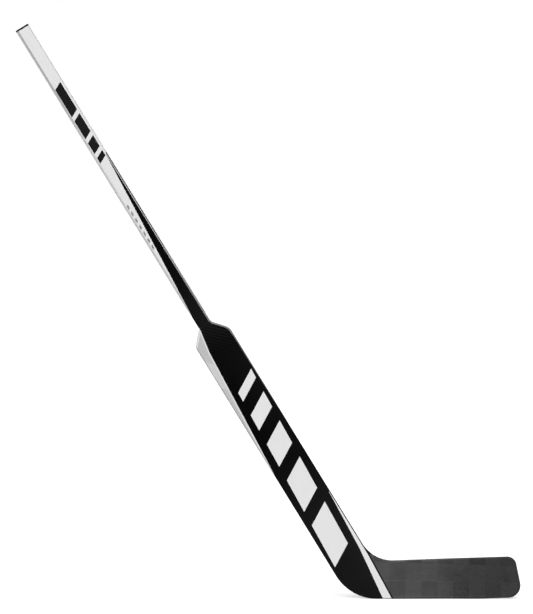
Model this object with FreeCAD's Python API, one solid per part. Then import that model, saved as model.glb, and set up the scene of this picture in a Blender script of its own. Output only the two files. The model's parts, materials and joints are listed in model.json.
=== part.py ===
import FreeCAD, Part
import math
import os

from FreeCAD import Vector

# Hockey goalie stick, standing on the sole of its blade as in play.
# X runs along the ice to the toe, Y to the back of the stick and Z up.
# The origin is on the flat sole, a little past the heel, at mid thickness.
# All sizes are in millimetres and all angles in degrees.

# Stick line. Lengths along the stick start at the heel corner, where the
# paddle's left edge would meet the ice.
LIE_ANGLE = 58.4
HEEL_TO_ORIGIN = 110.0

# Shaft
SHAFT_LENGTH = 748.8
SHAFT_WIDTH = 30.0
SHAFT_THICKNESS = 20.0
TUBE_WALL = 2.5
EDGE_ROUND = 3.6

# Paddle
PADDLE_WIDTH = 86.0
NECK_BASE = 674.0
NECK_LENGTH = 12.0
LEFT_SHOULDER_DROP = 31.0
LEFT_NECK_ROUND = 6.0
LEFT_SHOULDER_ROUND = 9.0
RIGHT_SHOULDER_DROP = 32.0
RIGHT_NECK_ROUND = 16.0
RIGHT_SHOULDER_ROUND = 26.0

# Soft bevel that thins the paddle towards its left edge, front and back
BEVEL_RADIUS = 480.0
BEVEL_CREASE_DROP = 156.0
BEVEL_CREASE_ACROSS = -5.5
FLASH_SLOPE = 0.0632

# Blade, with lengths along the ice from the heel corner
HEEL_ROUND = 105.0
INNER_HEEL_ROUND = 77.0
BLADE_HEIGHT = 84.2
BLADE_TOP_RISE = 2.1
TOE_FOOT = 377.2
TOE_ANGLE = 78.5
TOE_TOP_ROUND = 20.0
TOE_BOTTOM_ROUND = 27.0
ROCKER_LENGTH = 100.0
ROCKER_RISE = 2.4
ROCKER_ROUND = 700.0

# Thickness of the blade and its curve towards the front
TAPER_GAP = 8.0
TAPER_LENGTH = 93.0
BLADE_THICKNESS = 11.0
TOE_THICKNESS = 8.6
TOE_CURVE = 14.0
TAPER_ROUND = 800.0

# Joint between the paddle and the blade: a line a little steeper than the paddle's
# right edge, which turns out to that edge above the blade's top
JOINT_INSET = 6.0
JOINT_STEEPER = 3.1
JOINT_RISE = 13.0

# Bonded layers
SHELL_WALL = 1.5
RAIL_WALL = 2.5
FILM = 0.3
EDGE_FLAT = 0.3

# Inside
SPIGOT_IN_SHAFT = 90.0
SPIGOT_IN_PADDLE = 150.0
CORNER_EASE = 0.5
SHAFT_FOAM_LENGTH = 60.0
WEB_WALL = 4.0
HEEL_BLOCK_TOP = 140.0
HEEL_RAIL_HEIGHT = 80.0
RIB_FOOT = 38.0
RIB_HEIGHT = 10.0
RIB_TOE_GAP = 45.0
TONGUE_LENGTH = 45.0
TONGUE_THICKNESS = 8.0

# Butt plug
PLUG_FLANGE = 3.6
PLUG_OVERHANG = 0.8
PLUG_FLANGE_ROUND = 0.6
PLUG_STEM = 45.0
PLUG_WALL = 2.0
PLUG_CLEARANCE = 0.3
PLUG_RIB_WIDTH = 2.0
PLUG_RIB_CLEARANCE = 0.1
PLUG_LEAD_IN = 1.0

# Printed film on the shaft
SPLIT_RISE = 421.0
SPLIT_TIP = 1.2
SIDE_BAND = 3.4
BLOCK_MARGIN = 5.5
SHAFT_BLOCKS_RISE = 604.0
SHAFT_BLOCK_LENGTHS = (70.0, 46.0, 28.0, 14.0)
SHAFT_BLOCK_GAP = 10.0
SHAFT_BLOCK_SLANT = 10.0
TICKS_RISE = 300.0
TICK_COUNT = 7
TICK_PITCH = 17.0
TICK_LENGTH = 9.0
TICK_WIDTH = 4.0
TICK_SLANT = 4.0
TICK_MARGIN = 5.5

# Printed film on the paddle
FLASH_BEND_DROP = 58.0
FLASH_BEND_MARGIN = 20.3
FLASH_TIP = 1.5
TRIM_NARROWING = 28.0
TRIM_SIDE = 2.2
TRIM_LENGTH = 238.0
TRIM_TIP = 1.0
PADDLE_BLOCKS_DROP = 134.0
PADDLE_BLOCK_LENGTHS = (22.0, 38.0, 56.0, 78.0, 104.0)
PADDLE_BLOCK_GAP = 34.0
PADDLE_BLOCK_SLANT = 30.0
PADDLE_BLOCK_LEFT = 29.0
PADDLE_BLOCK_RIGHT = 7.0
PADDLE_BLOCK_DRIFT = 0.045
BAND_FOOT = 19.2
BAND_STEEPER = 6.6
BAND_TURN = 110.0
BAND_UPPER_STEEPER = 3.2
BAND_TOP = 234.0
BAND_OUTLINE = 3.8
BAND_SIDE = 2.2
BAND_MARGIN = 1.2

# Stick directions: up the shaft, and across it towards the toe side
lie = math.radians(LIE_ANGLE)
ALONG = Vector(-math.cos(lie), 0, math.sin(lie))
ACROSS = Vector(math.sin(lie), 0, math.cos(lie))
BACK = Vector(0, 1, 0)
UP = Vector(0, 0, 1)
TO_TOE = Vector(1, 0, 0)
HEEL = Vector(-HEEL_TO_ORIGIN, 0, 0)

# Places along the stick that several pieces share
neck_top = NECK_BASE + NECK_LENGTH
stick_top = neck_top + SHAFT_LENGTH
tube_top = stick_top - PLUG_FLANGE
spigot_top = neck_top + SPIGOT_IN_SHAFT
spigot_end = neck_top - SPIGOT_IN_PADDLE
split_top = neck_top + SPLIT_RISE
right_shoulder = NECK_BASE - RIGHT_SHOULDER_DROP
half_shaft = SHAFT_WIDTH / 2
half_paddle = PADDLE_WIDTH / 2
band_side = half_shaft - SIDE_BAND
# Lengths along the ice: the foot of the joint, and where the blade's taper starts and ends
joint_foot = PADDLE_WIDTH / math.sin(lie) - JOINT_INSET
taper_slope = math.atan((SHAFT_THICKNESS - BLADE_THICKNESS) / 2 / TAPER_LENGTH)
taper_start = joint_foot + TAPER_GAP + TAPER_ROUND * math.tan(taper_slope / 2)
taper_end = taper_start + TAPER_LENGTH
# Sizes of the bore, and the corner round of what goes in it
bore_width = SHAFT_WIDTH - 2 * TUBE_WALL
bore_thickness = SHAFT_THICKNESS - 2 * TUBE_WALL
bore_round = EDGE_ROUND - TUBE_WALL
eased_round = bore_round + CORNER_EASE
# Rounding of the outer edges, which leaves the thin toe a little flat
edge_round = min(EDGE_ROUND, TOE_THICKNESS / 2 - EDGE_FLAT)

# Further than any piece reaches through the thickness, along the stick and past an edge
THROUGH = SHAFT_THICKNESS + TOE_CURVE
BEYOND = stick_top
SPARE = SHAFT_WIDTH
# The blade's two faces are drawn on past the toe, to this many times its length
OVERRUN = 2.0
# Points closer than this are taken as the same
NEAR = 0.01
# An edge at more than this angle to the middle plane goes through the thickness
STEEP_ANGLE = 60.0


def on_stick(along, across):
    """Point at a length along the stick and a distance from its centre line."""
    return HEEL + ALONG * along + ACROSS * (across + half_paddle)


def on_ice(length, height=0.0):
    """Point at a length along the ice from the heel corner and a height."""
    return HEEL + TO_TOE * length + UP * height


def leaning(angle):
    """Direction that rises towards the heel side at an angle to the ice."""
    turn = math.radians(angle)
    return Vector(-math.cos(turn), 0, math.sin(turn))


def rising(angle):
    """Direction that rises towards the toe at an angle to the ice."""
    turn = math.radians(angle)
    return Vector(math.cos(turn), 0, math.sin(turn))


def crossing(p, d, q, e):
    """Point where the line through p along d meets the line through q along e."""
    across = d.x * e.z - d.z * e.x
    reach = ((q.x - p.x) * e.z - (q.z - p.z) * e.x) / across
    return p + d * reach


def rounded_wire(corners):
    """Closed wire through (point, radius) corners, each rounded by a tangent arc."""
    spans = []
    for i, (corner, radius) in enumerate(corners):
        before = (corners[i - 1][0] - corner).normalize()
        after = (corners[(i + 1) % len(corners)][0] - corner).normalize()
        half = before.getAngle(after) / 2
        reach = radius / math.tan(half)
        middle = (before + after).normalize() * (radius / math.sin(half) - radius)
        spans.append((corner + before * reach, corner + middle, corner + after * reach, radius))
    edges = []
    for i, (start, middle, end, radius) in enumerate(spans):
        if radius:
            edges.append(Part.Arc(start, middle, end).toShape())
        edges.append(Part.LineSegment(end, spans[(i + 1) % len(spans)][0]).toShape())
    return Part.Wire(edges)


def grown(corners, grow, normal):
    """Corners of the same outline moved outwards; they run counterclockwise about the normal."""
    moved = []
    for i, (corner, radius) in enumerate(corners):
        before = (corner - corners[i - 1][0]).normalize()
        after = (corners[(i + 1) % len(corners)][0] - corner).normalize()
        out = before.cross(normal) + after.cross(normal)
        bulge = 1 if before.cross(after).dot(normal) > 0 else -1
        reach = grow / (1 + before.dot(after))
        moved.append((corner + out * reach, radius + bulge * grow if radius else 0.0))
    return moved


def polygon(points):
    """Closed wire with sharp corners."""
    return Part.makePolygon(list(points) + [points[0]])


def prism(wire):
    """Solid through the whole thickness over a wire in the stick's middle plane."""
    face = Part.Face(wire)
    face.translate(BACK * -THROUGH)
    return face.extrude(BACK * (2 * THROUGH))


def beside(point, direction):
    """Large solid on the right of a line, looking along its direction from the front."""
    right = Vector(direction.z, 0, -direction.x)
    low = point - direction * BEYOND
    high = point + direction * BEYOND
    return prism(polygon([low, high, high + right * BEYOND, low + right * BEYOND]))


def bar(width, thickness, radius, low, high, across=0.0):
    """Solid of rounded rectangular section along the stick."""
    base = on_stick(low, across)
    sides = [(-1, -1), (1, -1), (1, 1), (-1, 1)]
    corners = [(base + ACROSS * (a * width / 2) + BACK * (b * thickness / 2), radius) for a, b in sides]
    return Part.Face(rounded_wire(corners)).extrude(ALONG * (high - low))


def outline(grow):
    """Front outline of neck, paddle, heel and blade, moved outwards by grow."""
    top = neck_top + SPARE
    rocker = on_ice(TOE_FOOT - ROCKER_LENGTH)
    rocker_line = rising(ROCKER_RISE)
    toe_foot = on_ice(TOE_FOOT)
    toe_line = leaning(TOE_ANGLE)
    blade_top = Vector(0, 0, BLADE_HEIGHT)
    top_line = rising(BLADE_TOP_RISE)
    right_edge = on_stick(0, half_paddle)
    corners = [
        (on_stick(top, -half_shaft), 0.0),
        (on_stick(NECK_BASE, -half_shaft), LEFT_NECK_ROUND),
        (on_stick(NECK_BASE - LEFT_SHOULDER_DROP, -half_paddle), LEFT_SHOULDER_ROUND),
        (HEEL, HEEL_ROUND),
        (rocker, ROCKER_ROUND),
        (crossing(rocker, rocker_line, toe_foot, toe_line), TOE_BOTTOM_ROUND),
        (crossing(blade_top, top_line, toe_foot, toe_line), TOE_TOP_ROUND),
        (crossing(blade_top, top_line, right_edge, ALONG), INNER_HEEL_ROUND),
        (on_stick(right_shoulder, half_paddle), RIGHT_SHOULDER_ROUND),
        (on_stick(NECK_BASE, half_shaft), RIGHT_NECK_ROUND),
        (on_stick(top, half_shaft), 0.0),
    ]
    return rounded_wire(grown(corners, grow, BACK * -1))


def paddle_slab(grow):
    """Thickness of the paddle: flat, thinning in a tangent curve left of the crease."""
    crease = (ALONG + ACROSS * FLASH_SLOPE).normalize()
    side = Vector(crease.z, 0, -crease.x)
    foot = on_stick(NECK_BASE - BEVEL_CREASE_DROP, BEVEL_CREASE_ACROSS) - crease * BEYOND
    half = SHAFT_THICKNESS / 2 + grow
    radius = BEVEL_RADIUS + grow
    sweep = PADDLE_WIDTH / BEVEL_RADIUS

    def at(turn, face):
        depth = half - radius * (1 - math.cos(turn))
        return foot - side * (radius * math.sin(turn)) + BACK * (face * depth)

    far = side * BEYOND
    front = [at(turn, -1) for turn in (0, sweep / 2, sweep)]
    back = [at(turn, 1) for turn in (sweep, sweep / 2, 0)]
    wire = Part.Wire([
        Part.LineSegment(front[0] + far, front[0]).toShape(),
        Part.Arc(*front).toShape(),
        Part.LineSegment(front[2], back[0]).toShape(),
        Part.Arc(*back).toShape(),
        Part.LineSegment(back[2], back[2] + far).toShape(),
        Part.LineSegment(back[2] + far, front[0] + far).toShape(),
    ])
    return Part.Face(wire).extrude(crease * (2 * BEYOND))


def blade_slab(grow):
    """Thickness of the blade: flat through the heel, then tapered and curved to the front."""
    heel_half = SHAFT_THICKNESS / 2
    blade_half = BLADE_THICKNESS / 2
    toe_half = TOE_THICKNESS / 2
    length = TOE_FOOT - taper_end
    below = on_ice(taper_end) - UP * THROUGH
    start = below - TO_TOE * (taper_end - taper_start)
    tip = below + TO_TOE * (OVERRUN * length)

    def tip_depth(toe, blade):
        return blade + OVERRUN * (toe - blade)

    corners = [
        (start - TO_TOE * TOE_FOOT - BACK * heel_half, 0.0),
        (start - BACK * heel_half, TAPER_ROUND),
        (below - BACK * blade_half, TAPER_ROUND),
        (tip + BACK * tip_depth(-TOE_CURVE - toe_half, -blade_half), 0.0),
        (tip + BACK * tip_depth(-TOE_CURVE + toe_half, blade_half), 0.0),
        (below + BACK * blade_half, TAPER_ROUND),
        (start + BACK * heel_half, TAPER_ROUND),
        (start - TO_TOE * TOE_FOOT + BACK * heel_half, 0.0),
    ]
    wire = rounded_wire(grown(corners, grow, UP))
    return Part.Face(wire).extrude(UP * (2 * THROUGH + BLADE_HEIGHT + INNER_HEEL_ROUND))


def rim_edges(solid, edge):
    """Edges of a slab-like solid that run round its front and back outlines."""
    top = on_stick(neck_top + SPARE, 0)
    steep = math.sin(math.radians(STEEP_ANGLE))
    found = []
    for e in solid.Edges:
        middle = e.valueAt((e.FirstParameter + e.LastParameter) / 2)
        flat = Part.Vertex(middle.x, 0, middle.z)
        run = e.tangentAt((e.FirstParameter + e.LastParameter) / 2)
        below_top = (middle - top).dot(ALONG) < -NEAR
        if abs(run.y) < steep and below_top and flat.distToShape(edge)[0] < NEAR:
            found.append(e)
    return found


def lower_body(grow):
    """Outer form of neck, paddle, heel and blade with its edges rounded, moved outwards by grow."""
    edge = outline(grow)
    block = prism(edge)
    paddle = block.common(paddle_slab(grow)).cut(blade_side)
    blade = block.common(blade_slab(grow)).common(blade_side)
    whole = paddle.fuse(blade).removeSplitter()
    return whole.makeFillet(edge_round + grow, rim_edges(whole, edge)).cut(above_neck)


joint_line = leaning(LIE_ANGLE + JOINT_STEEPER)
joint_turn = crossing(on_ice(joint_foot), joint_line, on_ice(0, BLADE_HEIGHT + JOINT_RISE), TO_TOE)
blade_side = beside(joint_turn, joint_line).common(beside(joint_turn, ACROSS))
above_neck = beside(on_stick(neck_top, 0), ACROSS * -1)


def strip(low, high, left, right):
    """Solid through the thickness between two lengths along the stick and two distances across it."""
    corners = [(low, left), (high, left), (high, right), (low, right)]
    return prism(polygon([on_stick(along, across) for along, across in corners]))


def front_and_back(pieces):
    """The two solids of a shape, the front one first."""
    return sorted(pieces.Solids, key=lambda solid: solid.CenterOfMass.y)


def shaft_tube():
    outer = bar(SHAFT_WIDTH, SHAFT_THICKNESS, EDGE_ROUND, neck_top, tube_top)
    return outer.cut(bar(bore_width, bore_thickness, bore_round, neck_top, tube_top))


def butt_plug():
    """Flange on the shaft's end with a hollow stem in the bore, guided by six low ribs."""
    flange = bar(SHAFT_WIDTH + 2 * PLUG_OVERHANG, SHAFT_THICKNESS + 2 * PLUG_OVERHANG,
                 EDGE_ROUND + PLUG_OVERHANG, tube_top, stick_top)
    rim = max(flange.Faces, key=lambda face: (face.CenterOfMass - HEEL).dot(ALONG))
    flange = flange.makeFillet(PLUG_FLANGE_ROUND, rim.Edges)
    width = bore_width - 2 * PLUG_CLEARANCE
    thickness = bore_thickness - 2 * PLUG_CLEARANCE
    low = tube_top - PLUG_STEM
    stem = bar(width, thickness, eased_round, low, tube_top)
    end = min(stem.Faces, key=lambda face: (face.CenterOfMass - HEEL).dot(ALONG))
    stem = stem.makeChamfer(PLUG_LEAD_IN, end.Edges)
    rib_low = low + 2 * PLUG_LEAD_IN
    quarter = width / 4
    for across in (-quarter, quarter):
        stem = stem.fuse(bar(PLUG_RIB_WIDTH, bore_thickness - 2 * PLUG_RIB_CLEARANCE, 0.0,
                             rib_low, tube_top, across))
    stem = stem.fuse(bar(bore_width - 2 * PLUG_RIB_CLEARANCE, PLUG_RIB_WIDTH, 0.0, rib_low, tube_top))
    hollow = bar(width - 2 * PLUG_WALL, thickness - 2 * PLUG_WALL, 0.0, low, tube_top)
    return stem.cut(hollow).fuse(flange).removeSplitter()


def neck_spigot():
    """Tenon, stepped where it leaves the paddle and enters the shaft's bore."""
    upper = bar(bore_width, bore_thickness, eased_round, neck_top, spigot_top)
    half = half_shaft - RAIL_WALL
    lower = paddle_space.common(strip(spigot_end, neck_top, -half, half))
    return lower.fuse(upper)


def shaft_foam():
    return bar(bore_width, bore_thickness, eased_round, spigot_top, spigot_top + SHAFT_FOAM_LENGTH)


def paddle_web():
    return paddle_space.common(strip(HEEL_BLOCK_TOP, spigot_end, -WEB_WALL / 2, WEB_WALL / 2))


def paddle_core(left, right):
    """Foam on one side of the web and the tenon."""
    return paddle_space.common(strip(HEEL_BLOCK_TOP, neck_top, left, right)).cut(spigot).cut(web)


def tongue():
    """Solid of the rib's tongue, from the joint back into the heel."""
    low = on_ice(0, RIB_FOOT)
    high = on_ice(0, RIB_FOOT + RIB_HEIGHT)
    at_low = crossing(joint_turn, joint_line, low, TO_TOE)
    at_high = crossing(joint_turn, joint_line, high, TO_TOE)
    back = TO_TOE * -TONGUE_LENGTH
    face = Part.Face(polygon([at_low, at_high, at_high + back, at_low + back]))
    face.translate(BACK * (-TONGUE_THICKNESS / 2))
    return face.extrude(BACK * TONGUE_THICKNESS)


def blade_rib():
    """Rib along the middle of the blade, with its tongue."""
    toe = TOE_FOOT - RIB_TOE_GAP
    low = RIB_FOOT
    high = RIB_FOOT + RIB_HEIGHT
    region = polygon([on_ice(0, low), on_ice(toe, low), on_ice(toe, high), on_ice(0, high)])
    return blade_space.common(prism(region)).fuse(tongue())


def blade_core(low, high):
    region = polygon([on_ice(0, low), on_ice(TOE_FOOT, low), on_ice(TOE_FOOT, high), on_ice(0, high)])
    return blade_space.common(prism(region)).cut(rib)


def slanted(top, length, slant, side):
    """Parallelogram on the stick, its left side lower by slant; side gives both edges at a length."""
    corners = [(top, 1), (top - slant, -1), (top - slant - length, -1), (top - length, 1)]
    return prism(polygon([on_stick(along, side(along, edge)) for along, edge in corners]))


def shaft_blocks():
    """Black blocks on the white film, each shorter than the one above."""
    half = half_shaft - BLOCK_MARGIN
    blocks = []
    top = neck_top + SHAFT_BLOCKS_RISE
    for length in SHAFT_BLOCK_LENGTHS:
        blocks.append(slanted(top, length, SHAFT_BLOCK_SLANT, lambda along, edge: edge * half))
        top -= length + SHAFT_BLOCK_GAP
    return Part.makeCompound(blocks)


def shaft_ticks():
    """Row of small grey marks below the blocks."""
    middle = TICK_MARGIN + TICK_WIDTH / 2 - half_shaft

    def side(along, edge):
        return middle + edge * TICK_WIDTH / 2

    tops = [neck_top + TICKS_RISE - i * TICK_PITCH for i in range(TICK_COUNT)]
    return Part.makeCompound([slanted(top, TICK_LENGTH, TICK_SLANT, side) for top in tops])


def side_band_region():
    """Right side of the lower shaft."""
    return strip(neck_top, split_top, band_side, SHAFT_WIDTH)


def bare_shaft():
    """Part of the shaft that the white film leaves dark, right of a slanted split with a blunt tip."""
    low = neck_top - SPARE
    split = (ALONG + ACROSS * FLASH_SLOPE).normalize()
    tip = split_top - (band_side + half_shaft - SPLIT_TIP) / FLASH_SLOPE
    below = strip(low, split_top, -SHAFT_WIDTH, band_side)
    right = beside(on_stick(split_top, band_side), split).common(below)
    return right.fuse(strip(low, tip, -SHAFT_WIDTH, band_side))


def paddle_blocks():
    """White blocks down the paddle, each longer than the one above."""
    first = NECK_BASE - PADDLE_BLOCKS_DROP

    def side(along, edge):
        margin = half_paddle - PADDLE_BLOCK_RIGHT if edge > 0 else PADDLE_BLOCK_LEFT - half_paddle
        return margin - PADDLE_BLOCK_DRIFT * (first - along)

    blocks = []
    top = first
    for length in PADDLE_BLOCK_LENGTHS:
        blocks.append(slanted(top, length, PADDLE_BLOCK_SLANT, side))
        top -= length + PADDLE_BLOCK_GAP
    return Part.makeCompound(blocks)


def flash_region():
    """Wedge down the paddle's left edge, from the shoulder to a blunt tip."""
    bend = NECK_BASE - FLASH_BEND_DROP
    end = bend - (FLASH_BEND_MARGIN - FLASH_TIP) / FLASH_SLOPE
    out = -half_paddle - SPARE
    return prism(polygon([
        on_stick(NECK_BASE, FLASH_TIP - half_shaft),
        on_stick(bend, FLASH_BEND_MARGIN - half_paddle),
        on_stick(end, FLASH_TIP - half_paddle),
        on_stick(end, out),
        on_stick(NECK_BASE, out),
    ]))


def trim_region():
    """Rim of the neck and the right shoulder, narrowing down the paddle's right edge to a blunt tip."""
    rim = prism(outline(FILM)).cut(prism(outline(-SIDE_BAND)))
    rounded = right_shoulder - RIGHT_SHOULDER_ROUND / 2
    narrow = right_shoulder - TRIM_NARROWING
    end = right_shoulder - TRIM_LENGTH
    out = half_paddle + SPARE
    return rim.common(prism(polygon([
        on_stick(neck_top, 0),
        on_stick(neck_top, out),
        on_stick(end, out),
        on_stick(end, half_paddle - TRIM_TIP),
        on_stick(narrow, half_paddle - TRIM_SIDE),
        on_stick(rounded, half_paddle - SIDE_BAND),
        on_stick(rounded, 0),
    ])))


def heel_band_region():
    """Slanted band beside the blade joint, widening to the sole; its left edge turns once on the way up."""
    right_foot = on_ice(joint_foot - BAND_OUTLINE)
    left_foot = right_foot - TO_TOE * BAND_FOOT
    left_line = leaning(LIE_ANGLE + BAND_STEEPER)
    turn = crossing(left_foot, left_line, on_ice(0, BAND_TURN), TO_TOE)
    band = beside(left_foot, left_line).fuse(beside(turn, leaning(LIE_ANGLE + BAND_UPPER_STEEPER)))
    band = band.cut(beside(right_foot, joint_line)).cut(beside(on_stick(0, half_paddle - BAND_SIDE), ALONG))
    return band.common(beside(on_ice(0, BAND_TOP), TO_TOE)).common(prism(outline(-BAND_MARGIN)))


# Bodies that the pieces are cut from
body = lower_body(0)
paddle_body = body.cut(blade_side)
blade_body = body.common(blade_side)
paddle_middle = paddle_slab(-SHELL_WALL).cut(blade_side).cut(above_neck)
blade_middle = blade_slab(-SHELL_WALL).common(blade_side)
inside = prism(outline(-RAIL_WALL))
paddle_space = paddle_middle.common(inside)
blade_space = blade_middle.common(inside)
paddle_rails = paddle_body.common(paddle_middle).cut(inside)
above_heel = beside(on_ice(0, HEEL_RAIL_HEIGHT), TO_TOE * -1)
spigot = neck_spigot()
web = paddle_web()
rib = blade_rib()
rib_middle = RIB_FOOT + RIB_HEIGHT / 2
film = lower_body(FILM).cut(body)
sleeve = bar(SHAFT_WIDTH + 2 * FILM, SHAFT_THICKNESS + 2 * FILM, EDGE_ROUND + FILM, neck_top, tube_top)
sleeve = sleeve.cut(bar(SHAFT_WIDTH, SHAFT_THICKNESS, EDGE_ROUND, neck_top, tube_top))
blocks = shaft_blocks()
ticks = shaft_ticks()
side_band = side_band_region()

paddle_front, paddle_back = front_and_back(paddle_body.cut(paddle_middle))
blade_front, blade_back = front_and_back(blade_body.cut(blade_middle))
band_front, band_back = front_and_back(film.common(heel_band_region()))
printed_blocks = front_and_back(film.common(paddle_blocks()))
blocks_front = Part.makeCompound(printed_blocks[:len(PADDLE_BLOCK_LENGTHS)])
blocks_back = Part.makeCompound(printed_blocks[len(PADDLE_BLOCK_LENGTHS):])

pieces = {
    "butt_plug": butt_plug(),
    "shaft_tube": shaft_tube(),
    "shaft_foam": shaft_foam(),
    "shaft_wrap": sleeve.cut(bare_shaft()).cut(side_band).cut(blocks).cut(ticks),
    "shaft_wrap_blocks": sleeve.common(blocks),
    "shaft_wrap_ticks": sleeve.common(ticks),
    "shaft_side_band": sleeve.common(side_band),
    "neck_spigot": spigot,
    "paddle_front_shell": paddle_front,
    "paddle_back_shell": paddle_back,
    "paddle_core_left": paddle_core(-PADDLE_WIDTH, 0),
    "paddle_core_right": paddle_core(0, PADDLE_WIDTH),
    "paddle_web": web,
    "paddle_rail_left": paddle_rails.common(above_heel).common(strip(0, neck_top, -PADDLE_WIDTH, 0)),
    "paddle_rail_right": paddle_rails.common(above_heel).common(strip(0, neck_top, 0, PADDLE_WIDTH)),
    "paddle_flash": film.common(flash_region()),
    "shoulder_trim": film.common(trim_region()),
    "paddle_blocks_front": blocks_front,
    "paddle_blocks_back": blocks_back,
    "heel_rail": paddle_rails.cut(above_heel),
    "heel_block": paddle_space.cut(strip(HEEL_BLOCK_TOP, neck_top, -PADDLE_WIDTH, PADDLE_WIDTH)).cut(rib),
    "heel_band_front": band_front,
    "heel_band_back": band_back,
    "blade_front_shell": blade_front,
    "blade_back_shell": blade_back,
    "blade_edge_rail": blade_body.common(blade_middle).cut(inside),
    "blade_rib": rib,
    "blade_core_upper": blade_core(rib_middle, BLADE_HEIGHT + INNER_HEEL_ROUND),
    "blade_core_lower": blade_core(0, rib_middle),
}

os.makedirs("parts", exist_ok=True)
for name, piece in pieces.items():
    piece.exportStep(f"parts/{name}.step")
    print(name, len(piece.Solids), piece.isValid(), round(piece.Volume))
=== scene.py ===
import json
import math

import bpy
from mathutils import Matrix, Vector

bl_info = {
    "name": "Goalie Stick Looks",
    "version": (1, 0, 0),
    "blender": (4, 5, 0),
    "location": "View3D > Sidebar > Goalie Stick",
    "description": "Finishes and studio for a hockey goalie stick",
    "category": "3D View",
}

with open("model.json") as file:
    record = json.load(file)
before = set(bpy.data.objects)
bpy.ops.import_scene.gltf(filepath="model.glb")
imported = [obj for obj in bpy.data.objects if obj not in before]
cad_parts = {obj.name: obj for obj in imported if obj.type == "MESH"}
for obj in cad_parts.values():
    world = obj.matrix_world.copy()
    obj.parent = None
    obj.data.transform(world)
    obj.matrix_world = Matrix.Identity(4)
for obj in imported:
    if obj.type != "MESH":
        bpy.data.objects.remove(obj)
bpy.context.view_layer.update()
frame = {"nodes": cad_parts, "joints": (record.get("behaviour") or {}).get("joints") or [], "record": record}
nodes = frame["nodes"]
mounts = {mount["name"]: Vector(mount["pos_m"]) for mount in frame["record"]["mounts"]}
shaft_axis = Vector(frame["joints"][0]["axis"])

# Turn from the ice to the stick: across the shaft becomes X, up the shaft becomes Z
STICK_TURN = math.atan2(-shaft_axis.x, shaft_axis.z)
NECK = mounts["blocker_grip"]
NECK_ACROSS = NECK.x * math.cos(STICK_TURN) + NECK.z * math.sin(STICK_TURN)
NECK_ALONG = NECK.z * math.cos(STICK_TURN) - NECK.x * math.sin(STICK_TURN)

# Places are in metres: along the stick up from the neck and across it to the right of its centre line,
# or on the blade along the ice and up from it. A pair is where a change starts and where it is complete,
# or else what holds at the start of a change and at its end. Grain is counted in lumps to the metre.

# Detail of a noise
SOFT = 1.0
EVEN = 2.0
FINE = 3.0

# Sockets of a Mix node that hold colours
MIX_COLOURS = (6, 7)
MIX_COLOUR_RESULT = 2

# Black carbon: where its lacquer is clear enough to show the twill, and the painted sheen that lightens it
# at the neck, towards the heel and on the right
TWILL_REPEAT = 4.0
CLEAR_SLANT = 1.09
CLEAR_FOOT = (-0.129, -0.126)
CLEAR_TOP = (0.34, 0.16)
RIGHT_SIDE = (-0.03, 0.04)
RIGHT_SHEEN = (0.28, 0.06)
NECK_SHEEN_FOOT = (-0.090, 0.01)
NECK_SHEEN_TOP = (0.15, -0.01)
NECK_SHEEN_SIDES = (0.62, 0.95)
HEEL_SHEEN = (-0.28, -0.54)
HEEL_SHEEN_SIDES = (0.75, 0.95)
SHEEN_GRAIN = 22.0
SHEEN_SHADES = (0.75, 1.15)
TOW_SHADES = (-0.3, 2.25)
TOW_SHEEN = 0.12
TOW_SIDES = (0.60, 1.10)
TOW_UPWARDS = (1.0, 0.30)
DUST_GRAIN = 900.0
DUST_HEIGHT = 0.12
CARBON_GLOSS = 0.015
CARBON_ROUGHNESS = (0.46, 0.36)
CARBON_RELIEF = 0.00012

# Blade: checks of spread tow in rows that lean with the top edge, their fibres, flecks and streaks, and
# the marks along their seams, which are counted in rows up from the sole
CHECK_START = -0.024
CHECK_TAPER = 0.0178
CHECK_TONES = (0.15, 0.42)
CHECK_REPEAT = 2.0
CHECK_TURN = 0.5
CHECK_DARKER = -0.09
TOP_CHECK_DARKER = -0.20
PATCH_GRAIN = 9.0
PATCH_EDGE = (0.35, 0.65)
CLOUD_GRAIN = 24.0
CLOUD_DEPTH = 0.75
FLAT_FIBRE_GRAIN = (18.0, 200.0, 900.0)
TALL_FIBRE_GRAIN = (900.0, 200.0, 18.0)
FIBRE_SHADES = (0.76, 1.24)
FLECK_GRAIN = 300.0
FLECK_DEPTHS = (0.32, 0.95)
STREAK_GRAIN = (50.0, 60.0, 360.0)
STREAK_EDGE = (0.58, 0.74)
STREAK_DARKER = (-0.12, -0.40)
SEAM_ROW = 1.0
SEAM_EDGE = (0.034, 0.022)
SEAM_BREAKS = (0.42, 0.56)
SEAM_LIGHTER = 0.28
CRACK_ROW = 2.0
CRACK_EDGE = (0.040, 0.025)
CRACK_BREAKS = (0.54, 0.60)
CRACK_DARKER = -0.35
# Painted highlight along the rounded edge just above the sole: where it starts, where it ends and how much
# lighter it is
SOLE_HIGHLIGHT_FOOT = (0.0030, 0.0038)
SOLE_HIGHLIGHT_TOP = (0.0064, 0.0054)
SOLE_HIGHLIGHT = 0.40
HEEL_TO_TOE = (0.05, 0.17)
GROOVE_EDGE = (0.5, 0.475)
FIBRE_HEIGHT = 0.35
BLADE_GLOSS = 0.15
BLADE_ROUGHNESS = (0.50, 0.36)
BLADE_RELIEF = 0.00006

# Printed film, and the gloss of the black print in it
MOTTLE_GRAIN = 35.0
MOTTLE_SHADES = (0.965, 1.025)
PEEL_GRAIN = 420.0
FILM_GLOSS = 0.2
BLACK_GLOSS = 0.05
FILM_ROUGHNESS = (0.48, 0.36)
FILM_RELIEF = 0.00002

# Shaft film: shade along its left and right corners, which on the left grows up the shaft
CORNER_DEPTH = (0.0064, 0.0078)
LEFT_CORNER = (-0.0088, -0.0112)
LEFT_RIM = (-0.0138, -0.0124)
LEFT_RISE = (0.40, 0.62)
LEFT_SHADES = (0.28, 0.74)
RIGHT_CORNER = (0.0122, 0.0140)
RIGHT_SHADE = 0.22

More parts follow.
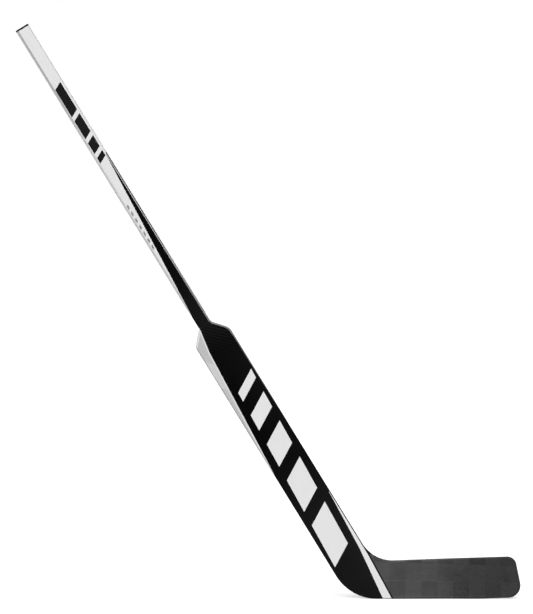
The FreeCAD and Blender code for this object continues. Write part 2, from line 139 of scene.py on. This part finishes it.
# Side band: the edges of its dark line, and where that line sets in above the neck
LINE_LEFT = (0.0128, 0.0130)
LINE_RIGHT = (0.0150, 0.0148)
LINE_FADE = (0.08, 0.20)

# Shoulder trim: where it fades into the black of the paddle
TRIM_FADE = (-0.15, -0.28)

# Wedge: points, along and across, of its border with the black and of its shoulder, the width of the
# bright margin at each, and the lighter patch
WEDGE_TOP = (-0.012, -0.0135)
WEDGE_BEND = (-0.070, -0.0227)
WEDGE_TIP = (-0.367, -0.0415)
WEDGE_MARGIN = (0.0036, 0.0026)
SHOULDER_TOP = (-0.012, -0.015)
SHOULDER_CORNER = (-0.043, -0.043)
SHOULDER_FACET = (0.0056, 0.0046)
PATCH_SLANT = 1.2
PATCH_FOOT = (-0.199, -0.196)
PATCH_TOP = (-0.128, -0.131)
PATCH_LIGHTER = 0.45

# Moulded plug
PLUG_GRAIN = 90.0
PLUG_SHADES = (0.7, 1.6)
PIT_GRAIN = 1400.0
PLUG_GLOSS = 0.12
PLUG_ROUGHNESS = (0.62, 0.48)
PLUG_RELIEF = 0.00005

# Foam
FOAM_CELL = 0.0012
BLOCK_CELL = 0.0007
FOAM_GRAIN = 60.0
FOAM_SHADES = (0.85, 1.10)
FOAM_GLOSS = 0.1
FOAM_ROUGHNESS = (0.95, 0.80)
FOAM_RELIEF = 0.0002


class StickFinishes(bpy.types.PropertyGroup):
    """Colours and pattern sizes of the stick's finishes"""

    carbon: bpy.props.FloatVectorProperty(
        name="Black carbon", description="Lacquer of the shaft and paddle",
        subtype="COLOR", default=(0.0008, 0.0008, 0.0008), min=0.0, max=1.0)
    # Painted sheen: the colour the black lacquer is lightened to at the neck, towards the heel and on the
    # right
    carbon_painted_sheen: bpy.props.FloatVectorProperty(
        name="Carbon painted sheen", description="Painted sheen on the lacquer at the neck, towards the heel and on the right",
        subtype="COLOR", default=(0.0100, 0.0100, 0.0101), min=0.0, max=1.0)
    tow_width: bpy.props.FloatProperty(
        name="Twill tow", description="Width of one tow of the twill",
        unit="LENGTH", default=0.00225, min=0.0005, max=0.01)
    blade_heel: bpy.props.FloatVectorProperty(
        name="Blade at the heel", description="Grey of the blade's carbon next to the heel",
        subtype="COLOR", default=(0.055, 0.055, 0.056), min=0.0, max=1.0)
    blade_toe: bpy.props.FloatVectorProperty(
        name="Blade at the toe", description="Grey of the blade's carbon at the toe",
        subtype="COLOR", default=(0.0255, 0.0255, 0.026), min=0.0, max=1.0)
    check_width: bpy.props.FloatProperty(
        name="Check width", description="Width of one check of the blade's spread tow",
        unit="LENGTH", default=0.0346, min=0.005, max=0.1)
    check_height: bpy.props.FloatProperty(
        name="Check height", description="Height of one check of the blade's spread tow",
        unit="LENGTH", default=0.0403, min=0.005, max=0.1)
    white: bpy.props.FloatVectorProperty(
        name="White film", description="Printed white on shaft, paddle and heel",
        subtype="COLOR", default=(0.79, 0.79, 0.79), min=0.0, max=1.0)
    silver: bpy.props.FloatVectorProperty(
        name="Silver film", description="Field of the wedge on the paddle's left edge",
        subtype="COLOR", default=(0.53, 0.53, 0.53), min=0.0, max=1.0)
    silver_edge: bpy.props.FloatVectorProperty(
        name="Wedge margin", description="Bright margin of the wedge",
        subtype="COLOR", default=(0.74, 0.74, 0.74), min=0.0, max=1.0)
    grey: bpy.props.FloatVectorProperty(
        name="Grey film", description="Side band at the neck, small marks and corner shade",
        subtype="COLOR", default=(0.24, 0.24, 0.24), min=0.0, max=1.0)
    trim: bpy.props.FloatVectorProperty(
        name="Shoulder trim", description="Rim of the right shoulder",
        subtype="COLOR", default=(0.20, 0.20, 0.20), min=0.0, max=1.0)
    side_line: bpy.props.FloatVectorProperty(
        name="Side lines", description="Light lines along the shaft's right side",
        subtype="COLOR", default=(0.60, 0.60, 0.60), min=0.0, max=1.0)
    print_black: bpy.props.FloatVectorProperty(
        name="Black print", description="Black blocks in the white film",
        subtype="COLOR", default=(0.005, 0.005, 0.005), min=0.0, max=1.0)
    plug: bpy.props.FloatVectorProperty(
        name="Plug plastic", description="Moulded end plug",
        subtype="COLOR", default=(0.004, 0.004, 0.004), min=0.0, max=1.0)
    foam: bpy.props.FloatVectorProperty(
        name="Foam", description="Foam cores",
        subtype="COLOR", default=(0.72, 0.66, 0.50), min=0.0, max=1.0)
    dense_foam: bpy.props.FloatVectorProperty(
        name="Heel block", description="Dense foam of the heel block",
        subtype="COLOR", default=(0.36, 0.34, 0.30), min=0.0, max=1.0)


class StickStudio(bpy.types.PropertyGroup):
    """Floor, light and camera of the studio"""

    sky: bpy.props.FloatProperty(
        name="Sky", description="Strength of the even light from all round",
        default=0.10, min=0.0, max=2.0)
    lamp_width: bpy.props.FloatProperty(
        name="Lamp width", description="Angle that each soft lamp fills",
        subtype="ANGLE", default=math.radians(60.0), min=0.0, max=math.pi)
    key: bpy.props.FloatProperty(
        name="Key lamp", description="Strength of the soft lamp high in front",
        default=3.36, min=0.0, max=10.0)
    key_from: bpy.props.FloatVectorProperty(
        name="Key direction", description="Direction towards the key lamp",
        subtype="DIRECTION", default=(-0.15, -0.80, 0.62))
    fill: bpy.props.FloatProperty(
        name="Fill lamp", description="Strength of the soft lamp behind",
        default=1.6, min=0.0, max=10.0)
    fill_from: bpy.props.FloatVectorProperty(
        name="Fill direction", description="Direction towards the fill lamp",
        subtype="DIRECTION", default=(-0.25, 0.95, 0.35))
    floor_bounce: bpy.props.FloatProperty(
        name="Floor bounce", description="Grey of the floor as it lights the stick",
        subtype="FACTOR", default=0.15, min=0.0, max=1.0)
    floor_glow: bpy.props.FloatProperty(
        name="Floor glow", description="Own light of the floor as a camera sees it",
        subtype="FACTOR", default=0.4, min=0.0, max=1.0)
    floor_size: bpy.props.FloatProperty(
        name="Floor size", description="Half the floor's side",
        unit="LENGTH", default=400.0, min=5.0)
    view_height: bpy.props.FloatProperty(
        name="View height", description="Height of what the camera takes in",
        unit="LENGTH", default=1.3385, min=0.1)
    view_depth: bpy.props.FloatProperty(
        name="View depth", description="How far the camera sees",
        unit="LENGTH", default=2000.0, min=10.0)
    aim: bpy.props.FloatVectorProperty(
        name="Aim", description="Point that the camera looks at",
        subtype="TRANSLATION", default=(-0.2921, 0.0, 0.6357))
    lens: bpy.props.FloatProperty(
        name="Lens", description="Focal length",
        unit="CAMERA", default=200.0, min=20.0)
    sensor: bpy.props.FloatProperty(
        name="Sensor", description="Long side of the sensor",
        unit="CAMERA", default=36.0, min=5.0)


def add(tree, kind, settings=None, inputs=None):
    """New shader node with its settings, and its inputs set or linked."""
    node = tree.nodes.new(kind)
    for name, value in (settings or {}).items():
        setattr(node, name, value)
    for key, value in (inputs or {}).items():
        if isinstance(value, bpy.types.NodeSocket):
            tree.links.new(value, node.inputs[key])
        else:
            node.inputs[key].default_value = value
    return node


def calc(tree, operation, *values):
    """Result of a Math node."""
    return add(tree, "ShaderNodeMath", {"operation": operation}, dict(enumerate(values))).outputs[0]


def times(tree, first, *others):
    """Product of values."""
    for other in others:
        first = calc(tree, "MULTIPLY", first, other)
    return first


def plus(tree, first, *others):
    """Sum of values."""
    for other in others:
        first = calc(tree, "ADD", first, other)
    return first


def apart(tree, first, second):
    """Distance between two values."""
    return calc(tree, "ABSOLUTE", calc(tree, "SUBTRACT", first, second))


def ramp(tree, value, low, high):
    """Smooth step from 0 at low to 1 at high."""
    inputs = {"Value": value, "From Min": low, "From Max": high}
    return add(tree, "ShaderNodeMapRange", {"interpolation_type": "SMOOTHSTEP"}, inputs).outputs[0]


def spread(tree, value, low, high):
    """Straight line from low at 0 to high at 1."""
    inputs = {"Value": value, "To Min": low, "To Max": high}
    return add(tree, "ShaderNodeMapRange", None, inputs).outputs[0]


def either(tree, factor, first, second):
    """Value between first and second."""
    return add(tree, "ShaderNodeMix", None, {"Factor": factor, "A": first, "B": second}).outputs[0]


def tint(tree, factor, first, second):
    """Colour between first and second."""
    inputs = {"Factor": factor}
    for socket, colour in zip(MIX_COLOURS, (first, second)):
        inputs[socket] = colour if isinstance(colour, bpy.types.NodeSocket) else (*colour, 1.0)
    return add(tree, "ShaderNodeMix", {"data_type": "RGBA"}, inputs).outputs[MIX_COLOUR_RESULT]


def shaded(tree, colour, level):
    """Colour made darker or lighter by a level."""
    inputs = {"Vector": colour, "Scale": level}
    return add(tree, "ShaderNodeVectorMath", {"operation": "SCALE"}, inputs).outputs[0]


def grain(tree, coords, scale=1.0, detail=EVEN):
    """Noise from 0 to 1 over coordinates in metres, or in lumps where they are stretched already."""
    inputs = {"Vector": coords, "Scale": scale, "Detail": detail}
    return add(tree, "ShaderNodeTexNoise", None, inputs).outputs[0]


def centred(tree, value):
    """Value from 0 to 1, moved to lie evenly about 0."""
    return plus(tree, value, -0.5)


def first_half(tree, count, repeat):
    """1 in the first half of each repeat of a whole count, and 0 in the second."""
    share = calc(tree, "FRACT", calc(tree, "DIVIDE", plus(tree, count, 0.5), repeat))
    return calc(tree, "LESS_THAN", share, 0.5)


def ice_coords(tree):
    """Coordinates with X along the ice and Z up."""
    return add(tree, "ShaderNodeTexCoord").outputs["Object"]


def stick_coords(tree):
    """Coordinates with X across the stick from its centre line and Z up the shaft from the neck."""
    turn = {"Location": (-NECK_ACROSS, 0.0, -NECK_ALONG), "Rotation": (0.0, STICK_TURN, 0.0)}
    return add(tree, "ShaderNodeMapping", None, {"Vector": ice_coords(tree), **turn}).outputs[0]


def split(tree, coords):
    """The three parts of a vector."""
    return add(tree, "ShaderNodeSeparateXYZ", None, {"Vector": coords}).outputs


def stretched(tree, coords, scale):
    """Coordinates scaled along each axis."""
    return add(tree, "ShaderNodeMapping", None, {"Vector": coords, "Scale": scale}).outputs[0]


def right_of(tree, along, across, start, end):
    """Distance to the right of a line down the stick from start to end."""
    down = (Vector(end) - Vector(start)).normalized()
    upwards = times(tree, plus(tree, along, -start[0]), down.y)
    sideways = times(tree, plus(tree, across, -start[1]), -down.x)
    return plus(tree, upwards, sideways)


def new_finish(name, gloss):
    """Empty material, its node tree and its surface shader."""
    material = bpy.data.materials.new(name)
    material.use_nodes = True
    tree = material.node_tree
    shader = next(node for node in tree.nodes if node.type == "BSDF_PRINCIPLED")
    shader.inputs["Specular IOR Level"].default_value = gloss
    return material, tree, shader


def surface(tree, shader, colour, roughness, height, relief):
    """Links colour, roughness and a bump of a given relief in metres to the shader."""
    bump = add(tree, "ShaderNodeBump", None, {"Height": height, "Distance": relief, "Strength": 1.0})
    tree.links.new(colour, shader.inputs["Base Color"])
    tree.links.new(roughness, shader.inputs["Roughness"])
    tree.links.new(bump.outputs[0], shader.inputs["Normal"])


def dress(material, *names):
    """Puts a material on CAD nodes."""
    for name in names:
        for slot in nodes[name].material_slots:
            slot.link = "OBJECT"
            slot.material = material


def twill_carbon(looks):
    """Satin black lacquer over carbon, clear down to a slanted line so that the twill shows at the neck."""
    material, tree, shader = new_finish("twill_carbon", CARBON_GLOSS)
    coords = stick_coords(tree)
    across, depth, along = split(tree, coords)

    # Weave: tows two over and two under, counted round the section and up the stick
    column = calc(tree, "DIVIDE", plus(tree, across, depth), looks.tow_width)
    row = calc(tree, "DIVIDE", along, looks.tow_width)
    step = plus(tree, calc(tree, "FLOOR", column), calc(tree, "FLOOR", row))
    over = first_half(tree, step, TWILL_REPEAT)
    warp, weft = (calc(tree, "SINE", times(tree, calc(tree, "FRACT", count), math.pi))
                  for count in (column, row))
    crown = either(tree, over, weft, warp)
    lean = plus(tree, along, times(tree, across, -CLEAR_SLANT))
    shown = times(tree, ramp(tree, lean, *CLEAR_FOOT), ramp(tree, along, *CLEAR_TOP))

    # Painted sheen: lighter at the neck, towards the heel and on the right
    right = ramp(tree, across, *RIGHT_SIDE)
    upwards = ramp(tree, along, *NECK_SHEEN_FOOT)
    neck = times(tree, upwards, ramp(tree, along, *NECK_SHEEN_TOP), spread(tree, right, *NECK_SHEEN_SIDES))
    heel = times(tree, ramp(tree, along, *HEEL_SHEEN), spread(tree, right, *HEEL_SHEEN_SIDES))
    side = times(tree, right, spread(tree, shown, *RIGHT_SHEEN))
    painted_sheen = calc(tree, "MAXIMUM", side, calc(tree, "MAXIMUM", neck, heel))
    cloud = grain(tree, coords, SHEEN_GRAIN, FINE)
    painted_sheen = times(tree, painted_sheen, spread(tree, cloud, *SHEEN_SHADES))
    # Where the lacquer is clear, the twill's tows make this painted sheen lighter and darker, more on the
    # right and near the neck
    clear = times(tree, shown, spread(tree, right, *TOW_SIDES), spread(tree, upwards, *TOW_UPWARDS))
    painted_sheen = plus(tree, painted_sheen, times(tree, clear, TOW_SHEEN))
    painted_sheen = times(tree, painted_sheen, either(tree, clear, 1.0, spread(tree, over, *TOW_SHADES)))

    colour = tint(tree, painted_sheen, looks.carbon, looks.carbon_painted_sheen)
    roughness = spread(tree, plus(tree, cloud, times(tree, over, shown)), *CARBON_ROUGHNESS)
    dust = times(tree, grain(tree, coords, DUST_GRAIN), DUST_HEIGHT)
    height = plus(tree, dust, times(tree, crown, shown))
    surface(tree, shader, colour, roughness, height, CARBON_RELIEF)
    return material


def spread_tow(looks):
    """Grey spread tow of the blade: large cloudy checks whose fibres lie along or up the blade."""
    material, tree, shader = new_finish("spread_tow", BLADE_GLOSS)
    coords = ice_coords(tree)
    along, _, up = split(tree, coords)
    toewards = ramp(tree, along, *HEEL_TO_TOE)

    # Checks, each with a tone of its own, under soft clouds
    column = calc(tree, "DIVIDE", plus(tree, along, -CHECK_START), looks.check_width)
    row_height = plus(tree, looks.check_height, times(tree, along, -CHECK_TAPER))
    row = calc(tree, "DIVIDE", up, row_height)
    column_number = calc(tree, "FLOOR", column)
    row_number = calc(tree, "FLOOR", row)
    cell = add(tree, "ShaderNodeCombineXYZ", None, {"X": column_number, "Y": row_number}).outputs[0]
    tone = add(tree, "ShaderNodeTexWhiteNoise", None, {"Vector": cell}).outputs[0]
    patchy = ramp(tree, grain(tree, coords, PATCH_GRAIN, SOFT), *PATCH_EDGE)
    tone = times(tree, centred(tree, tone), spread(tree, patchy, *CHECK_TONES))
    cloud = times(tree, centred(tree, grain(tree, coords, CLOUD_GRAIN, FINE)), CLOUD_DEPTH)

    # Fibres, along the blade in one check and up it in the next, with flecks and streaks
    upright = first_half(tree, plus(tree, column_number, row_number), CHECK_REPEAT)
    flat_fibre, tall_fibre = (grain(tree, stretched(tree, coords, scale), detail=FINE)
                              for scale in (FLAT_FIBRE_GRAIN, TALL_FIBRE_GRAIN))
    fibre = either(tree, upright, flat_fibre, tall_fibre)
    fleck = times(tree, centred(tree, grain(tree, coords, FLECK_GRAIN)),
                  spread(tree, toewards, *FLECK_DEPTHS))
    streak = times(tree, ramp(tree, grain(tree, stretched(tree, coords, STREAK_GRAIN)), *STREAK_EDGE),
                   spread(tree, toewards, *STREAK_DARKER))

    # Every other check is darker, most of all in the top row, and broken marks run along the seams
    turn = plus(tree, column_number, times(tree, row_number, CHECK_TURN))
    darker = calc(tree, "COSINE", times(tree, turn, math.pi))
    top_row = calc(tree, "GREATER_THAN", row, CRACK_ROW)
    top_check = times(tree, top_row, calc(tree, "MAXIMUM", darker, 0.0))
    seam = times(tree, ramp(tree, apart(tree, row, SEAM_ROW), *SEAM_EDGE),
                 ramp(tree, flat_fibre, *SEAM_BREAKS))
    crack = times(tree, ramp(tree, apart(tree, row, CRACK_ROW), *CRACK_EDGE),
                  ramp(tree, flat_fibre, *CRACK_BREAKS))
    # A painted highlight runs along the rounded edge just above the sole
    sole_highlight = times(tree, ramp(tree, up, *SOLE_HIGHLIGHT_FOOT), ramp(tree, up, *SOLE_HIGHLIGHT_TOP))

    level = plus(tree, tone, cloud, fleck, streak, 1.0)
    marks = ((darker, CHECK_DARKER), (top_check, TOP_CHECK_DARKER), (seam, SEAM_LIGHTER),
             (crack, CRACK_DARKER), (sole_highlight, SOLE_HIGHLIGHT))
    for mark, strength in marks:
        level = plus(tree, level, times(tree, mark, strength))
    level = times(tree, level, spread(tree, fibre, *FIBRE_SHADES))
    ground = tint(tree, toewards, looks.blade_heel, looks.blade_toe)
    colour = shaded(tree, ground, level)

    edge, side = (apart(tree, calc(tree, "FRACT", count), 0.5) for count in (row, column))
    groove = ramp(tree, calc(tree, "MAXIMUM", edge, side), *GROOVE_EDGE)
    height = plus(tree, groove, times(tree, fibre, FIBRE_HEIGHT))
    surface(tree, shader, colour, spread(tree, fibre, *BLADE_ROUGHNESS), height, BLADE_RELIEF)
    return material


def printed_film(name, paint, gloss=FILM_GLOSS):
    """Satin printed film with a faint mottle and orange peel, in the colour that paint gives."""
    material, tree, shader = new_finish(name, gloss)
    coords = stick_coords(tree)
    mottle = grain(tree, coords, MOTTLE_GRAIN, FINE)
    colour = shaded(tree, paint(tree, coords), spread(tree, mottle, *MOTTLE_SHADES))
    roughness = spread(tree, mottle, *FILM_ROUGHNESS)
    surface(tree, shader, colour, roughness, grain(tree, coords, PEEL_GRAIN), FILM_RELIEF)
    return material


def plain(colour):
    """Paint of one colour."""
    return lambda tree, coords: colour


def corner_shade(looks):
    """Paint of the shaft's white film, greyer along its corners."""
    def paint(tree, coords):
        across, depth, along = split(tree, coords)
        corner = ramp(tree, calc(tree, "ABSOLUTE", depth), *CORNER_DEPTH)
        left = times(tree, ramp(tree, across, *LEFT_CORNER), ramp(tree, across, *LEFT_RIM),
                     spread(tree, ramp(tree, along, *LEFT_RISE), *LEFT_SHADES))
        right = times(tree, ramp(tree, across, *RIGHT_CORNER), RIGHT_SHADE)
        return tint(tree, times(tree, corner, plus(tree, left, right)), looks.white, looks.grey)
    return paint


def side_lines(looks):
    """Paint of the shaft's right side: light, parted by a dark line, and grey at the neck."""
    def paint(tree, coords):
        across, _, along = split(tree, coords)
        lined = ramp(tree, along, *LINE_FADE)
        line = times(tree, lined, ramp(tree, across, *LINE_LEFT), ramp(tree, across, *LINE_RIGHT))
        return tint(tree, line, tint(tree, lined, looks.grey, looks.side_line), looks.print_black)
    return paint


def fading_trim(looks):
    """Paint of the right shoulder's rim, which fades out down the paddle's right edge."""
    def paint(tree, coords):
        _, _, along = split(tree, coords)
        return tint(tree, ramp(tree, along, *TRIM_FADE), looks.trim, looks.carbon)
    return paint


def wedge_silver(looks):
    """Paint of the wedge: silver with a bright margin and shoulder, and one lighter slanted patch."""
    def paint(tree, coords):
        across, _, along = split(tree, coords)
        upper = right_of(tree, along, across, WEDGE_TOP, WEDGE_BEND)
        lower = right_of(tree, along, across, WEDGE_BEND, WEDGE_TIP)
        inside = times(tree, calc(tree, "MINIMUM", upper, lower), -1.0)
        margin = ramp(tree, inside, *WEDGE_MARGIN)
        shoulder = right_of(tree, along, across, SHOULDER_TOP, SHOULDER_CORNER)
        facet = ramp(tree, shoulder, *SHOULDER_FACET)
        slant = plus(tree, along, times(tree, across, PATCH_SLANT))
        patch = times(tree, ramp(tree, slant, *PATCH_FOOT), ramp(tree, slant, *PATCH_TOP), PATCH_LIGHTER)
        lighter = calc(tree, "MAXIMUM", patch, calc(tree, "MAXIMUM", margin, facet))
        return tint(tree, lighter, looks.silver, looks.silver_edge)
    return paint


def moulded_plastic(looks):
    """Black plug plastic with a fine spark-eroded texture."""
    material, tree, shader = new_finish("moulded_plastic", PLUG_GLOSS)
    coords = ice_coords(tree)
    cloud = grain(tree, coords, PLUG_GRAIN)
    colour = shaded(tree, looks.plug, spread(tree, cloud, *PLUG_SHADES))
    pits = grain(tree, coords, PIT_GRAIN, FINE)
    surface(tree, shader, colour, spread(tree, cloud, *PLUG_ROUGHNESS), pits, PLUG_RELIEF)
    return material


def cell_foam(name, colour, cell):
    """Closed-cell foam."""
    material, tree, shader = new_finish(name, FOAM_GLOSS)
    coords = ice_coords(tree)
    cells = add(tree, "ShaderNodeTexVoronoi", None, {"Vector": coords, "Scale": 1.0 / cell}).outputs[0]
    cloud = grain(tree, coords, FOAM_GRAIN)
    shade = shaded(tree, colour, spread(tree, cloud, *FOAM_SHADES))
    surface(tree, shader, shade, spread(tree, cloud, *FOAM_ROUGHNESS), cells, FOAM_RELIEF)
    return material


class DressCarbon(bpy.types.Operator):
    """Gives the shaft, paddle, rails, web and tenon their black carbon"""

    bl_idname = "stick.dress_carbon"
    bl_label = "Dress shaft and paddle"

    def execute(self, context):
        dress(twill_carbon(context.scene.stick_finishes),
              "shaft_tube", "paddle_front_shell", "paddle_back_shell", "paddle_rail_left",
              "paddle_rail_right", "heel_rail", "paddle_web", "neck_spigot")
        return {"FINISHED"}


class DressBlade(bpy.types.Operator):
    """Gives the blade its spread tow"""

    bl_idname = "stick.dress_blade"
    bl_label = "Dress blade"

    def execute(self, context):
        dress(spread_tow(context.scene.stick_finishes),
              "blade_front_shell", "blade_back_shell", "blade_edge_rail", "blade_rib")
        return {"FINISHED"}


class PrintFilms(bpy.types.Operator):
    """Gives the printed films on shaft, paddle and heel their colours"""

    bl_idname = "stick.print_films"
    bl_label = "Print films"

    def execute(self, context):
        looks = context.scene.stick_finishes
        dress(printed_film("wrap_film", corner_shade(looks)), "shaft_wrap")
        dress(printed_film("side_film", side_lines(looks)), "shaft_side_band")
        dress(printed_film("wedge_film", wedge_silver(looks)), "paddle_flash")
        dress(printed_film("trim_film", fading_trim(looks)), "shoulder_trim")
        dress(printed_film("grey_print", plain(looks.grey)), "shaft_wrap_ticks")
        dress(printed_film("black_print", plain(looks.print_black), BLACK_GLOSS), "shaft_wrap_blocks")
        dress(printed_film("white_print", plain(looks.white)),
              "paddle_blocks_front", "paddle_blocks_back", "heel_band_front", "heel_band_back")
        return {"FINISHED"}


class DressPlug(bpy.types.Operator):
    """Gives the butt plug its moulded plastic"""

    bl_idname = "stick.dress_plug"
    bl_label = "Dress butt plug"

    def execute(self, context):
        dress(moulded_plastic(context.scene.stick_finishes), "butt_plug")
        return {"FINISHED"}


class FillCores(bpy.types.Operator):
    """Gives the hidden foam cores and the heel block their foam"""

    bl_idname = "stick.fill_cores"
    bl_label = "Fill cores"

    def execute(self, context):
        looks = context.scene.stick_finishes
        dress(cell_foam("core_foam", looks.foam, FOAM_CELL),
              "shaft_foam", "paddle_core_left", "paddle_core_right", "blade_core_upper", "blade_core_lower")
        dress(cell_foam("block_foam", looks.dense_foam, BLOCK_CELL), "heel_block")
        return {"FINISHED"}


def seen(tree):
    """1 where a camera, mirror or glass looks, and 0 where light is gathered."""
    path = add(tree, "ShaderNodeLightPath").outputs
    mirror = calc(tree, "MAXIMUM", path["Is Glossy Ray"], path["Is Transmission Ray"])
    return calc(tree, "MAXIMUM", path["Is Camera Ray"], mirror)


def lay_floor(studio):
    """White floor that throws little light back, with a pale shadow."""
    bpy.ops.mesh.primitive_plane_add(size=2.0 * studio.floor_size)
    floor = bpy.context.object
    floor.name = "studio_floor"
    paper, tree, shader = new_finish("floor_paper", 0.0)
    shader.inputs["Roughness"].default_value = 1.0
    shader.inputs["Emission Color"].default_value = (1.0, 1.0, 1.0, 1.0)
    shown = seen(tree)
    tree.links.new(spread(tree, shown, studio.floor_bounce, 1.0), shader.inputs["Base Color"])
    tree.links.new(spread(tree, shown, 0.0, studio.floor_glow), shader.inputs["Emission Strength"])
    floor.data.materials.append(paper)


def hang_sky(studio):
    """Even light from all round that a camera sees as white."""
    world = bpy.data.worlds.new("studio_sky")
    world.use_nodes = True
    tree = world.node_tree
    sky = next(node for node in tree.nodes if node.type == "BACKGROUND")
    sky.inputs["Color"].default_value = (1.0, 1.0, 1.0, 1.0)
    tree.links.new(spread(tree, seen(tree), studio.sky, 1.0), sky.inputs["Strength"])
    bpy.context.scene.world = world


def hang_lamp(name, strength, direction, studio):
    """Wide soft lamp that shines on the stick from a direction."""
    light = bpy.data.lights.new(name, "SUN")
    light.energy = strength
    light.angle = studio.lamp_width
    lamp = bpy.data.objects.new(name, light)
    lamp.rotation_euler = Vector(direction).to_track_quat("Z", "Y").to_euler()
    lamp.location = Vector(studio.aim) + Vector(direction) * studio.view_height
    bpy.context.scene.collection.objects.link(lamp)


def set_camera(studio):
    """Camera level with the aim, as far in front as its lens needs."""
    lens = bpy.data.cameras.new("studio_camera")
    lens.lens = studio.lens
    lens.sensor_width = studio.sensor
    lens.sensor_fit = "AUTO"
    lens.clip_end = studio.view_depth
    camera = bpy.data.objects.new("studio_camera", lens)
    distance = studio.view_height * studio.lens / studio.sensor
    camera.location = Vector(studio.aim) - Vector((0.0, distance, 0.0))
    camera.rotation_euler = (math.radians(90.0), 0.0, 0.0)
    bpy.context.scene.collection.objects.link(camera)
    bpy.context.scene.camera = camera


class SetStage(bpy.types.Operator):
    """Sets the white floor, the soft light and the camera"""

    bl_idname = "stick.set_stage"
    bl_label = "Set stage"

    def execute(self, context):
        studio = context.scene.stick_studio
        context.scene.view_settings.view_transform = "Standard"
        lay_floor(studio)
        hang_sky(studio)
        hang_lamp("key_lamp", studio.key, studio.key_from, studio)
        hang_lamp("fill_lamp", studio.fill, studio.fill_from, studio)
        set_camera(studio)
        return {"FINISHED"}


OPERATORS = (DressCarbon, DressBlade, PrintFilms, DressPlug, FillCores, SetStage)


class StickPanel(bpy.types.Panel):
    """Lists the steps that finish the stick"""

    bl_idname = "VIEW3D_PT_goalie_stick"
    bl_label = "Goalie Stick"
    bl_space_type = "VIEW_3D"
    bl_region_type = "UI"
    bl_category = "Goalie Stick"

    def draw(self, context):
        for operator in OPERATORS:
            self.layout.operator(operator.bl_idname)
        for group in (context.scene.stick_finishes, context.scene.stick_studio):
            box = self.layout.box()
            for name in group.__annotations__:
                box.prop(group, name)


CLASSES = (StickFinishes, StickStudio, *OPERATORS, StickPanel)


def register():
    for cls in CLASSES:
        bpy.utils.register_class(cls)
    bpy.types.Scene.stick_finishes = bpy.props.PointerProperty(type=StickFinishes)
    bpy.types.Scene.stick_studio = bpy.props.PointerProperty(type=StickStudio)


def unregister():
    del bpy.types.Scene.stick_studio
    del bpy.types.Scene.stick_finishes
    for cls in reversed(CLASSES):
        bpy.utils.unregister_class(cls)


def main():
    register()
    bpy.ops.stick.dress_carbon()
    bpy.ops.stick.dress_blade()
    bpy.ops.stick.print_films()
    bpy.ops.stick.dress_plug()
    bpy.ops.stick.fill_cores()
    bpy.ops.stick.set_stage()


if __name__ == "__main__":
    main()
